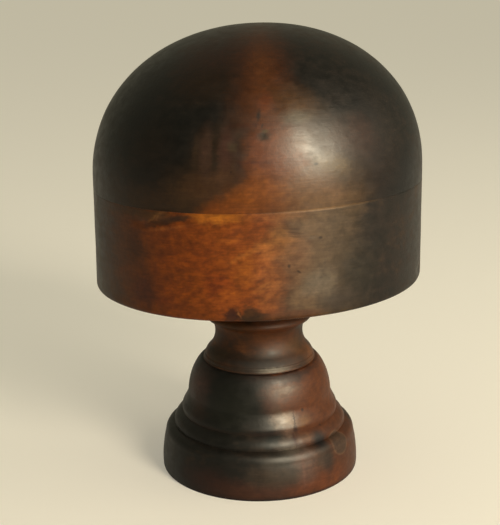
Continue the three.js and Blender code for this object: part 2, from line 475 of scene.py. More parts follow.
    def ringed(self, tree: Tree, colour: Socket, unrolled: Socket, place_mm: Socket) -> Socket:
        """Lay the rings over a colour, each broken into patches.

        Args:
            tree: The material's node tree.
            colour: The colour so far.
            unrolled: The way round and the height in millimetres.
            place_mm: The place on the surface in millimetres.

        Returns:
            The new colour.
        """
        up = add(tree, "ShaderNodeSeparateXYZ", links={"Vector": unrolled}).outputs["Y"]
        for ring in self.rings:
            away = add(tree, "ShaderNodeMath", {"operation": "SUBTRACT", 1: ring.height}, {0: up}).outputs[0]
            away = add(tree, "ShaderNodeMath", {"operation": "ABSOLUTE"}, {0: away}).outputs[0]
            mask = add(tree, "ShaderNodeMapRange", {"interpolation_type": "SMOOTHSTEP",
                                                    "From Min": ring.half_height,
                                                    "From Max": 0.25 * ring.half_height,
                                                    "To Max": ring.strength},
                       {"Value": away}).outputs[0]
            patches = self.pattern(tree, place_mm, (ring.patch_size, ring.patch_size, 4.0), 3.0)
            kept = add(tree, "ShaderNodeMapRange", {"From Min": 0.35, "From Max": 0.6,
                                                    "To Min": 1.0 - ring.patchiness},
                       {"Value": patches}).outputs[0]
            share = add(tree, "ShaderNodeMath", {"operation": "MULTIPLY"}, {0: mask, 1: kept}).outputs[0]
            colour = add(tree, "ShaderNodeMix", {"data_type": "RGBA", 7: linear(ring.colour)},
                         {0: share, 6: colour}).outputs[2]
        return colour

    def marked(self, tree: Tree, colour: Socket, unrolled: Socket, across: Socket,
               place_mm: Socket) -> tuple[Socket, Socket | None, Socket | None]:
        """Lay the marks over a colour in their order.

        Args:
            tree: The material's node tree.
            colour: The colour so far.
            unrolled: The way round and the height in millimetres.
            across: The distance from the axis in millimetres, as X.
            place_mm: The place on the surface in millimetres.

        Returns:
            The colour, how strongly the wood's figure shows, and the roughness that is added.
        """
        figure_share = None
        dullness = None
        kinds = [edge for edge in Edge if any(mark.edge is edge for mark in self.marks)]
        warped = {edge: self.warped(tree, unrolled, place_mm, edge) for edge in kinds}
        for mark in self.marks:
            shifted = add(tree, "ShaderNodeVectorMath", {"operation": "MULTIPLY_ADD",
                                                         1: (-math.radians(mark.turn), 0.0, 0.0)},
                          {0: across, 2: warped[mark.edge]}).outputs[0]
            local = add(tree, "ShaderNodeMapping", {"vector_type": "TEXTURE",
                                                    "Location": (0.0, mark.height, 0.0),
                                                    "Rotation": (0.0, 0.0, math.radians(mark.lean)),
                                                    "Scale": (mark.half_width, mark.half_height, 1.0)},
                        {"Vector": shifted}).outputs[0]
            away = add(tree, "ShaderNodeVectorMath", {"operation": "LENGTH"}, {0: local}).outputs["Value"]
            share = add(tree, "ShaderNodeMapRange", {"interpolation_type": "SMOOTHSTEP",
                                                     "From Min": 1.0 + 0.5 * mark.blur,
                                                     "From Max": 1.0 - mark.blur, "To Max": mark.strength},
                        {"Value": away}).outputs[0]
            colour = add(tree, "ShaderNodeMix", {"data_type": "RGBA", 7: linear(mark.colour)},
                         {0: share, 6: colour}).outputs[2]
            if mark.figure:
                mixer = add(tree, "ShaderNodeMix", {"data_type": "FLOAT", 3: mark.figure}, {0: share})
                if figure_share:
                    tree.links.new(figure_share, mixer.inputs[2])
                figure_share = mixer.outputs[0]
            if mark.dullness:
                mixer = add(tree, "ShaderNodeMix", {"data_type": "FLOAT", 3: mark.dullness}, {0: share})
                if dullness:
                    tree.links.new(dullness, mixer.inputs[2])
                dullness = mixer.outputs[0]
        return colour, figure_share, dullness

    @staticmethod
    def warped(tree: Tree, unrolled: Socket, place_mm: Socket, edge: Edge) -> Socket:
        """Shift the unrolled surface about, so that a mark's edge wanders as its kind says.

        Args:
            tree: The material's node tree.
            unrolled: The way round and the height in millimetres.
            place_mm: The place on the surface in millimetres.
            edge: The kind of edge.

        Returns:
            The shifted way round and height.
        """
        reach, streaks = edge.value
        if not reach:
            return unrolled
        sizes = (26.0, 26.0, 3.4) if streaks else (1.6 * reach, 1.6 * reach, 1.1 * reach)
        squeezed = add(tree, "ShaderNodeVectorMath", {"operation": "DIVIDE", 1: sizes},
                       {0: place_mm}).outputs[0]
        shifts = add(tree, "ShaderNodeTexNoise", {"Scale": 1.0, "Detail": 4.0, "Roughness": 0.6},
                     {"Vector": squeezed}).outputs["Color"]
        centred = add(tree, "ShaderNodeVectorMath", {"operation": "SUBTRACT", 1: (0.5, 0.5, 0.5)},
                      {0: shifts}).outputs[0]
        reaches = (2.0 * reach, 0.25 * reach if streaks else 1.6 * reach, 0.0)
        return add(tree, "ShaderNodeVectorMath", {"operation": "MULTIPLY_ADD", 1: reaches},
                   {0: centred, 2: unrolled}).outputs[0]

    def figured(self, tree: Tree, colour: Socket, figure: Socket, share: Socket | None) -> Socket:
        """Mottle a colour with the wood's figure, darker and redder in the low places.

        Args:
            tree: The material's node tree.
            colour: The colour so far.
            figure: The figure's value from zero to one.
            share: How much more of the figure the marks let show, if any do.

        Returns:
            The new colour.
        """
        ramp = add(tree, "ShaderNodeValToRGB", links={"Fac": figure})
        stops = ramp.color_ramp.elements
        stops[0].position = 0.36
        stops[0].color = (*self.figure_low, 1.0)
        stops[1].position = 0.64
        stops[1].color = (*self.figure_high, 1.0)
        mixer = add(tree, "ShaderNodeMix",
                    {"data_type": "RGBA", "blend_type": "MULTIPLY", 0: self.figure_depth},
                    {6: colour, 7: ramp.outputs["Color"]})
        if share:
            total = add(tree, "ShaderNodeMath", {"operation": "ADD", 1: self.figure_depth}, {0: share})
            tree.links.new(total.outputs[0], mixer.inputs[0])
        return mixer.outputs[2]

    @staticmethod
    def streaked(tree: Tree, colour: Socket, pattern: Socket, depth: float) -> Socket:
        """Darken and lighten a colour along a pattern.

        Args:
            tree: The material's node tree.
            colour: The colour so far.
            pattern: The pattern's value from zero to one.
            depth: How far the colour's light goes up and down, as a share.

        Returns:
            The new colour.
        """
        tone = add(tree, "ShaderNodeMapRange", {"From Min": 0.3, "From Max": 0.7, "To Min": 1.0 - depth,
                                                "To Max": 1.0 + depth}, {"Value": pattern}).outputs[0]
        return add(tree, "ShaderNodeVectorMath", {"operation": "SCALE"},
                   {0: colour, "Scale": tone}).outputs[0]

    def flecked(self, tree: Tree, colour: Socket, place_mm: Socket) -> Socket:
        """Scatter small dark flecks and pinholes over a colour.

        Args:
            tree: The material's node tree.
            colour: The colour so far.
            place_mm: The place on the surface in millimetres.

        Returns:
            The new colour.
        """
        squeezed = add(tree, "ShaderNodeVectorMath", {"operation": "SCALE", "Scale": 1.0 / self.fleck_gap},
                       {0: place_mm}).outputs[0]
        cells = add(tree, "ShaderNodeTexVoronoi", {"Scale": 1.0, "Randomness": 1.0}, {"Vector": squeezed})
        near = add(tree, "ShaderNodeMapRange", {"From Min": self.fleck_edge / self.fleck_gap,
                                                "From Max": self.fleck_core / self.fleck_gap},
                   {"Value": cells.outputs["Distance"]}).outputs[0]
        chosen = add(tree, "ShaderNodeSeparateColor", links={0: cells.outputs["Color"]}).outputs[0]
        rare = add(tree, "ShaderNodeMapRange", {"From Min": 0.55, "From Max": 0.8, "To Max": 0.7},
                   {"Value": chosen}).outputs[0]
        share = add(tree, "ShaderNodeMath", {"operation": "MULTIPLY"}, {0: near, 1: rare}).outputs[0]
        return add(tree, "ShaderNodeMix", {"data_type": "RGBA", 7: linear(self.shade, 0.5)},
                   {0: share, 6: colour}).outputs[2]

    def dulled(self, tree: Tree, patina: Socket, dullness: Socket | None) -> Socket:
        """Vary the roughness with the handling, and change it where a mark says so.

        Args:
            tree: The material's node tree.
            patina: The small patches left by handling.
            dullness: The roughness that the marks add, if any do.

        Returns:
            The roughness.
        """
        rough = add(tree, "ShaderNodeMapRange", {"From Min": 0.3, "From Max": 0.7,
                                                 "To Min": self.roughness - 0.5 * self.roughness_spread,
                                                 "To Max": self.roughness + 0.5 * self.roughness_spread},
                    {"Value": patina}).outputs[0]
        if not dullness:
            return rough
        return add(tree, "ShaderNodeMath", {"operation": "ADD"}, {0: rough, 1: dullness}).outputs[0]


@dataclass(frozen=True)
class BareWood:
    """Unvarnished close-grained wood, which looks pale and matt, with fine lengthwise grain.

    The grain is the size of its pattern along X, Y and Z in millimetres, drawn a little coarser
    than the real pores so that it shows.
    """

    name: str
    light: str
    dark: str
    grain: tuple[float, float, float]
    roughness: float = 0.55
    polish: float = 0.0

    def material(self) -> bpy.types.Material:
        """Make the finish as a material.

        Returns:
            The material, with its nodes.
        """
        made = bpy.data.materials.new(self.name)
        made.use_nodes = True
        tree = made.node_tree
        tree.nodes.clear()
        place = add(tree, "ShaderNodeTexCoord").outputs["Object"]
        sizes = tuple(size * MM for size in self.grain)
        squeezed = add(tree, "ShaderNodeVectorMath", {"operation": "DIVIDE", 1: sizes}, {0: place}).outputs[0]
        lines = add(tree, "ShaderNodeTexNoise", {"Scale": 1.0, "Detail": 5.0, "Roughness": 0.6},
                    {"Vector": squeezed}).outputs["Fac"]
        flecks = add(tree, "ShaderNodeTexVoronoi", {"Scale": 1.7, "Randomness": 1.0},
                     {"Vector": squeezed}).outputs["Distance"]
        rays = add(tree, "ShaderNodeMapRange",
                   {"From Min": 0.05, "From Max": 0.3, "To Min": 0.25, "To Max": 0.0},
                   {"Value": flecks}).outputs[0]
        tone = add(tree, "ShaderNodeMath", {"operation": "SUBTRACT"}, {0: lines, 1: rays}).outputs[0]
        ramp = add(tree, "ShaderNodeValToRGB", links={"Fac": tone})
        stops = ramp.color_ramp.elements
        stops[0].position = 0.25
        stops[0].color = linear(self.dark)
        stops[1].position = 0.62
        stops[1].color = linear(self.light)
        rough = add(tree, "ShaderNodeMapRange",
                    {"To Min": self.roughness + 0.1, "To Max": self.roughness - 0.1},
                    {"Value": lines}).outputs[0]
        bump = add(tree, "ShaderNodeBump", {"Strength": 0.25, "Distance": 0.3 * MM},
                   {"Height": tone}).outputs[0]
        shader = add(tree, "ShaderNodeBsdfPrincipled", {"Specular IOR Level": 0.35, "IOR": 1.5,
                                                        "Coat Weight": self.polish, "Coat Roughness": 0.3},
                     {"Base Color": ramp.outputs["Color"], "Roughness": rough, "Normal": bump})
        add(tree, "ShaderNodeOutputMaterial", links={"Surface": shader.outputs[0]})
        return made


def finished(name: str, shape: Shape, material: bpy.types.Material, body: str,
             node: str, under: bpy.types.Material | None = None) -> bpy.types.Object:
    """Make a shape a piece of the stand in the place of its node.

    Args:
        name: The piece's name.
        shape: The piece's shape, in its place.
        material: The piece's finish.
        body: The body that it rides on.
        node: The node that it stands for.
        under: The finish of the flat faces that look down, where it differs.

    Returns:
        The new piece.
    """
    mesh = bpy.data.meshes.new(name)
    mesh.materials.append(material)
    if under:
        mesh.materials.append(under)
        shape.normal_update()
        for face in shape.faces:
            face.material_index = 1 if face.normal.z < FACING_DOWN else 0
    shape.to_mesh(mesh)
    shape.free()
    mesh.shade_smooth()
    mesh.set_sharp_from_angle(angle=math.radians(EDGE_ANGLE))
    piece = bpy.data.objects.new(name, mesh)
    bpy.context.scene.collection.objects.link(piece)
    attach(piece, body)
    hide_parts(node)
    log.info("%s: %d faces, on %s", name, len(mesh.polygons), body)
    return piece


def dressed(node: str, material: bpy.types.Material) -> None:
    """Dress a node that is kept as it is.

    Args:
        node: The node's name.
        material: Its finish.
    """
    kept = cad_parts[node]
    kept.data.materials.clear()
    kept.data.materials.append(material)
    log.info("%s: kept, in %s", node, material.name)


@dataclass
class Pedestal:
    """The fixed pedestal: the bell and drum of the foot, and the waisted neck glued into it.

    Each size is a radius or a height in millimetres at the place that it is named for, and the
    sides are the number of faces round each piece.
    """

    sides: int = 224
    bore: float = 15.3
    hollow: float = 40.0
    hollow_rise: float = 2.5
    drum_foot: float = 55.8
    drum_top: float = 54.0
    drum_rise: float = 19.8
    bead_foot: float = 48.8
    bead_top: float = 44.1
    lip: float = 44.2
    bell_foot: float = 40.6
    bell_top: float = 35.7
    foot_rise: float = 63.4
    tenon: float = 15.0
    fillet: float = 31.2
    roll_foot: float = 30.5
    roll_top: float = 28.3
    waist: float = 24.6
    collar: float = 29.7
    platform: float = 44.0
    neck_rise: float = 113.2
    socket: float = 12.8
    socket_floor: float = 78.3
    foot_wear: Wear = Wear(0.28, 26.0, 4.0, 30.0, dents=(
        Dent(56.8, 21.8, 7.4, 6.1, 0.12),
        Dent(25.6, 31.0, 1.2, 5.0, 0.3, -5.0),
        Dent(-24.0, 3.0, 5.0, 2.4, 0.5),
        Dent(96.0, 29.5, 4.0, 2.0, 0.5),
        Dent(-140.0, 8.0, 6.0, 4.0, 0.6),
    ))
    neck_wear: Wear = Wear(0.18, 20.0, 9.0, 20.0)

    def foot_shape(self) -> Shape:
        """Turn the foot: a hollowed drum, a bead between two grooves, and the bell.

        Returns:
            The worn shape, in metres.
        """
        outline = Outline(self.bore, self.hollow_rise)
        # The hollow, the flat ring round it and the drum with its rounded shoulder.
        outline.line(self.hollow, self.hollow_rise)
        outline.line(self.hollow + 2.5, 0.0)
        outline.line(self.drum_foot, 0.0, ease=0.5)
        outline.bend(self.drum_top, self.drum_rise, (56.5, 9.4), 26)
        outline.bend(self.bead_foot, 25.6, (53.6, 24.6), 18)
        # The bead, the groove over it and the lip of the bell.
        outline.bend(self.bead_top, 33.0, (49.3, 29.6), 18)
        outline.line(self.lip, 35.0, 3, ease=0.8)
        outline.bend(42.8, 38.4, (self.lip - 0.1, 36.4), 8)
        # The bell, its shoulder and the face that the neck is glued to.
        outline.bend(self.bell_foot, 43.9, (40.9, 41.9), 12)
        outline.bend(self.bell_top, 60.2, (40.0, 53.2), 24)
        outline.bend(33.4, 63.0, (34.7, 61.8), 8)
        outline.bend(31.4, self.foot_rise, (32.9, 63.4), 6)
        outline.line(self.bore, self.foot_rise)
        shape = outline.turned(self.sides)
        self.foot_wear.apply(shape)
        return shape

    def neck_shape(self) -> Shape:
        """Turn the neck: tenon, fillet ring, roll, waist, collar bead, scotia and platform.

        Returns:
            The worn shape, in metres.
        """
        outline = Outline(0.0, self.hollow_rise)
        # The tenon and the shoulder that rests on the foot.
        outline.line(self.tenon, self.hollow_rise, ease=0.6)
        outline.line(self.tenon, self.foot_rise + 0.05)
        outline.line(31.6, self.foot_rise + 0.05)
        # The fillet ring, the roll and the waist.
        outline.bend(self.fillet, 64.7, (31.5, 64.2), 6)
        outline.bend(self.roll_foot, 66.4, (self.fillet, 65.9), 10)
        outline.bend(self.roll_top, 70.0, (29.9, 68.3), 10)
        outline.bend(self.waist, 79.0, (24.8, 73.4), 20)
        # The collar bead, whose curve is pulled far enough out to be as wide as the collar.
        outline.bend(26.9, 85.9, (24.6, 83.7), 14, ease=0.2)
        outline.bend(27.2, 91.9, (2.0 * self.collar - 27.0, 88.2), 18, ease=0.25)
        outline.line(26.8, 92.7, ease=0.25)
        # The scotia, the platform and the socket of the peg.
        outline.bend(35.8, 106.0, (27.6, 99.7), 18)
        outline.bend(self.platform, 108.4, (42.8, 107.2), 10, ease=0.4)
        outline.line(self.platform, 112.0, 3)
        outline.line(42.8, self.neck_rise, ease=0.4)
        outline.line(self.socket, self.neck_rise, ease=0.4)
        outline.line(self.socket, self.socket_floor)
        outline.line(0.0, self.socket_floor)
        shape = outline.turned(self.sides)
        self.neck_wear.apply(shape)
        return shape

    def build(self) -> None:
        """Build the foot and the neck, and dress the wedge."""
        finished("foot_turning", self.foot_shape(), FOOT_WOOD.material(), "stand",
                 "pedestal_foot", UNDERSIDE_WOOD.material())
        finished("neck_turning", self.neck_shape(), NECK_WOOD.material(), "stand",
                 "pedestal_neck", UNDERSIDE_WOOD.material())
        dressed("tenon_wedge", WEDGE_OAK.material())


@dataclass
class Peg:
    """The loose beech peg that the block turns on, burnished by use, with sizes in millimetres."""

    sides: int = 96
    radius: float = 12.5
    foot: float = 78.6
    top: float = 152.8
    chamfer: float = 1.2
    scribe: float = 118.4
    wear: Wear = Wear(0.06, 9.0, 14.0, 6.0)

    def shape(self) -> Shape:
        """Turn the peg, with a chamfer at each end and a scribed line above the platform.

        Returns:
            The worn shape, in metres.
        """
        outline = Outline(0.0, self.foot)
        outline.line(self.radius - self.chamfer, self.foot, ease=0.3)
        outline.line(self.radius, self.foot + self.chamfer, ease=0.3)
        outline.line(self.radius, self.scribe - 0.4, 24)
        outline.line(self.radius - 0.25, self.scribe, ease=0.15)
        outline.line(self.radius, self.scribe + 0.4)
        outline.line(self.radius, self.top - self.chamfer, 20, ease=0.3)
        outline.line(self.radius - self.chamfer, self.top, ease=0.3)
        outline.line(0.0, self.top)
        shape = outline.turned(self.sides)
        self.wear.apply(shape)
        return shape

    def build(self) -> None:
        """Build the peg."""
        finished("peg_turning", self.shape(), PEG_BEECH.material(), "peg", "turning_peg")


@dataclass
class Crown:
    """The block itself: a straight band and a dome, glued along a seam that climbs to one side.

    Radii and rises are in millimetres. The rises of the seat, the socket and the band are counted
    from the crown's foot, and so is the dome's spring. The dome's own rise is counted from its
    spring. The fullness is the power of the dome's curve, where 2 is an ellipse.
    """

    sides: int = 320
    radius: float = 89.0
    flare: float = 0.4
    rim: float = 2.4
    foot: float = 112.0
    seat: float = 46.0
    seat_rise: float = 1.5
    socket: float = 12.8
    socket_rise: float = 41.1
    band_rise: float = 53.45
    glue: float = 0.03
    seam: float = 0.06
    spring: float = 59.05
    dome_rise: float = 77.65
    fullness: float = 2.12
    dowels: int = 4
    band_wear: Wear = Wear(0.22, 34.0, 2.0, 60.0, SLOPE, SEAM_RISE, (
        Dent(-31.0, 161.6, 16.0, 2.6, 0.55, 4.0),
        Dent(-40.0, 159.6, 7.0, 3.0, 0.5, -12.0),
        Dent(-22.0, 163.0, 6.0, 1.6, 0.4, 2.0),
        Dent(-5.0, 114.6, 8.0, 3.2, 0.6, 4.0),
        Dent(17.1, 152.6, 0.9, 0.9, 0.35),
        Dent(9.5, 138.7, 0.9, 0.8, 0.3),
        Dent(74.0, 116.0, 7.0, 3.0, 0.7),
        Dent(-118.0, 150.0, 5.0, 7.0, 0.4, 20.0),
        Dent(152.0, 128.0, 9.0, 4.0, 0.5, -15.0),
    ))
    dome_wear: Wear = Wear(0.30, 42.0, 6.0, 20.0, SLOPE, SEAM_RISE, (
        Dent(1.6, 200.9, 2.2, 2.0, 0.25),
        Dent(-30.0, 168.0, 9.0, 1.5, 0.35, 1.0),
        Dent(120.0, 196.0, 6.0, 5.0, 0.5),
        Dent(-100.0, 212.0, 5.0, 7.0, 0.5, 30.0),
    ))

    def sloped(self, shape: Shape) -> Shape:
        """Let the level faces climb towards +X, all but the seat and the socket.

        Args:
            shape: The band or the dome, turned true.

        Returns:
            The same shape, out of square by the slope.
        """
        climb = Matrix.Identity(4)
        climb[2][0] = SLOPE
        beside = (self.seat + 0.01) * MM
        above = (self.foot + self.socket_rise + 0.5) * MM
        below = (self.foot + 0.5 * self.seat_rise) * MM
        climbing = [point for point in shape.verts if math.hypot(point.co.x, point.co.y) > beside
                    or point.co.z > above or point.co.z < below]
        bmesh.ops.transform(shape, matrix=climb, verts=climbing)
        return shape

    def band_shape(self) -> Shape:
        """Turn the band: a soft rim, a straight side, the seat and the socket underneath.

        Returns:
            The worn and sloped shape, in metres.
        """
        wall = self.radius + self.flare
        outline = Outline(0.0, self.foot + self.socket_rise)
        # The socket and the seat.
        outline.line(self.socket, self.foot + self.socket_rise)
        outline.line(self.socket, self.foot + self.seat_rise, ease=0.5)
        outline.line(self.seat, self.foot + self.seat_rise)
        outline.line(self.seat, self.foot)
        # The soft rim, the side and the face that the dome is glued to.
        outline.line(wall - self.rim, self.foot, 12)
        outline.bend(wall, self.foot + self.rim, (wall, self.foot), 8)
        outline.line(self.radius, self.foot + self.band_rise - self.seam, 46, ease=0.05)
        outline.line(self.radius - self.seam, self.foot + self.band_rise)
        outline.line(0.0, self.foot + self.band_rise)
        shape = outline.turned(self.sides)
        self.band_wear.apply(shape)
        return self.sloped(shape)

    def dome_shape(self) -> Shape:
        """Turn the dome: a short straight side that runs into a full round top.

        Returns:
            The worn and sloped shape, in metres.
        """
        base = self.foot + self.band_rise + self.glue
        outline = Outline(0.0, base)
        outline.line(self.radius - self.seam, base)
        outline.line(self.radius, base + self.seam, ease=0.05)
        outline.line(self.radius, self.foot + self.spring, 5)
        steps = 84
        power = 2.0 / self.fullness
        for step in range(1, steps + 1):
            angle = 0.5 * math.pi * step / steps
            across = self.radius * max(0.0, math.cos(angle)) ** power if step < steps else 0.0
            outline.line(across, self.foot + self.spring + self.dome_rise * math.sin(angle) ** power)
        shape = outline.turned(self.sides)
        self.dome_wear.apply(shape)
        return self.sloped(shape)

    def build(self) -> None:
        """Build the band and the dome, and dress the dowels between them."""
        finished("band_turning", self.band_shape(), BAND_WOOD.material(), "crown", "crown_band",
                 UNDERSIDE_WOOD.material())
        finished("dome_turning", self.dome_shape(), DOME_WOOD.material(), "crown", "crown_dome")
        beech = DOWEL_BEECH.material()
        for number in range(1, self.dowels + 1):
            dressed(f"register_dowel_{number}", beech)


@dataclass(frozen=True)
class Lamp:
    """An oval soft lamp, placed by its turn from the front towards +X and its rise in degrees.

    Its distance, width and height are in metres. One that is for sheen only shows in the gloss
    and lights nothing else.
    """

    name: str
    turn: float
    rise: float
    distance: float
    width: float
    height: float
    power: float
    colour: str
    lean: float = 0.0
    sheen_only: bool = False

    def hang(self, aim: Vector) -> None:
        """Hang the lamp.

        Args:
            aim: The point that the lamp faces.
        """
        data = bpy.data.lights.new(self.name, "AREA")
        data.shape = "ELLIPSE"
        data.size = self.width
        data.size_y = self.height
        data.energy = self.power
        data.color = linear(self.colour)[:3]
        turn = math.radians(self.turn)
        rise = math.radians(self.rise)
        away = Vector((math.sin(turn) * math.cos(rise), -math.cos(turn) * math.cos(rise), math.sin(rise)))
        facing = away.to_track_quat("Z", "Y").to_matrix().to_4x4()
        facing = facing @ Matrix.Rotation(math.radians(self.lean), 4, "Z")
        lamp = bpy.data.objects.new(self.name, data)
        lamp.matrix_world = Matrix.Translation(aim + away * self.distance) @ facing
        lamp.visible_diffuse = not self.sheen_only
        bpy.context.scene.collection.objects.link(lamp)


@dataclass
class Studio:
    """A pale floor, soft lamps at the front right, an even fill, and the camera.

    Places are in metres, the camera's turns in radians, and its lens in millimetres.
    """

    floor_colour: str = "#e9e4d9"
    floor_lift: float = 0.27
    fill_colour: str = "#f8f1ce"
    fill: float = 0.4
    # The key light is two lamps in one place. The stronger one shows only in the gloss, whose
    # highlight is far brighter than the light on the wood.
    lamps: tuple[Lamp, ...] = (
        Lamp("key", 36.5, 22.0, 1.5, 0.4, 0.8, 18.0, "#fff3dc", 25.0),
        Lamp("key_sheen", 36.5, 22.0, 1.5, 0.4, 0.8, 109.0, "#ffefd0", 25.0, sheen_only=True),
        Lamp("side", 85.0, 20.0, 1.6, 1.2, 1.2, 5.0, "#fff3dc"),
    )
    aim: Vector = field(default_factory=lambda: Vector((0.0, 0.0, 0.17)))
    stand_off: Vector = field(default_factory=lambda: Vector((0.0, -0.60566, 0.28142)))
    yaw: float = 0.00137565
    pitch: float = 0.257877
    roll: float = -0.00813292
    lens: float = 77.2
    shift: tuple[float, float] = (-0.0184, -0.0130)

    def camera(self) -> None:
        """Stand the camera where the reference view was taken from."""
        data = bpy.data.cameras.new("view")
        data.lens = self.lens
        data.sensor_width = 36.0
        data.sensor_fit = "AUTO"
        data.shift_x, data.shift_y = self.shift
        data.clip_start = 0.01
        data.clip_end = 100.0
        ahead = Vector((math.sin(self.yaw) * math.cos(self.pitch), math.cos(self.yaw) * math.cos(self.pitch),
                        -math.sin(self.pitch)))
        right = Vector((math.cos(self.yaw), -math.sin(self.yaw), 0.0))
        up = right.cross(ahead)
        rolled_right = math.cos(self.roll) * right + math.sin(self.roll) * up
        rolled_up = math.cos(self.roll) * up - math.sin(self.roll) * right
        turn = Matrix((rolled_right, rolled_up, -ahead)).transposed().to_4x4()
        camera = bpy.data.objects.new("view", data)
        camera.matrix_world = Matrix.Translation(self.stand_off) @ turn
        bpy.context.scene.collection.objects.link(camera)
        bpy.context.scene.camera = camera

    def surroundings(self) -> None:
        """Light the whole room evenly."""
        world = bpy.data.worlds.new("room")
        world.use_nodes = True
        tree = world.node_tree
        tree.nodes.clear()
        glow = add(tree, "ShaderNodeBackground", {"Color": linear(self.fill_colour), "Strength": self.fill})
        add(tree, "ShaderNodeOutputWorld", links={"Surface": glow.outputs[0]})
        bpy.context.scene.world = world

    def floor(self) -> None:
        """Lay the pale matt floor."""
        shape = bmesh.new()
        bmesh.ops.create_grid(shape, x_segments=1, y_segments=1, size=30.0)
        mesh = bpy.data.meshes.new("floor")
        shape.to_mesh(mesh)
        shape.free()
        made = bpy.data.materials.new("matt_floor")
        made.use_nodes = True
        tree = made.node_tree
        tree.nodes.clear()
        rays = add(tree, "ShaderNodeLightPath").outputs
        seen = add(tree, "ShaderNodeMath", {"operation": "MAXIMUM"},
                   {0: rays["Is Camera Ray"], 1: rays["Is Glossy Ray"]}).outputs[0]
        seen = add(tree, "ShaderNodeMath", {"operation": "MAXIMUM"},
                   {0: seen, 1: rays["Is Transmission Ray"]}).outputs[0]
        lift = add(tree, "ShaderNodeMath", {"operation": "MULTIPLY", 1: self.floor_lift},
                   {0: seen}).outputs[0]
        matt = add(tree, "ShaderNodeBsdfDiffuse", {"Color": linear(self.floor_colour)})
        pale = add(tree, "ShaderNodeEmission", {"Color": linear(self.floor_colour)}, {"Strength": lift})
        both = add(tree, "ShaderNodeAddShader", links={0: matt.outputs[0], 1: pale.outputs[0]})
        add(tree, "ShaderNodeOutputMaterial", links={"Surface": both.outputs[0]})
        mesh.materials.append(made)
        floor = bpy.data.objects.new("floor", mesh)
        bpy.context.scene.collection.objects.link(floor)

    def build(self) -> None:
        """Set up the whole studio."""
        self.camera()
        for lamp in self.lamps:
            lamp.hang(self.aim)
        self.surroundings()
        self.floor()
        bpy.context.scene.view_settings.view_transform = "Standard"
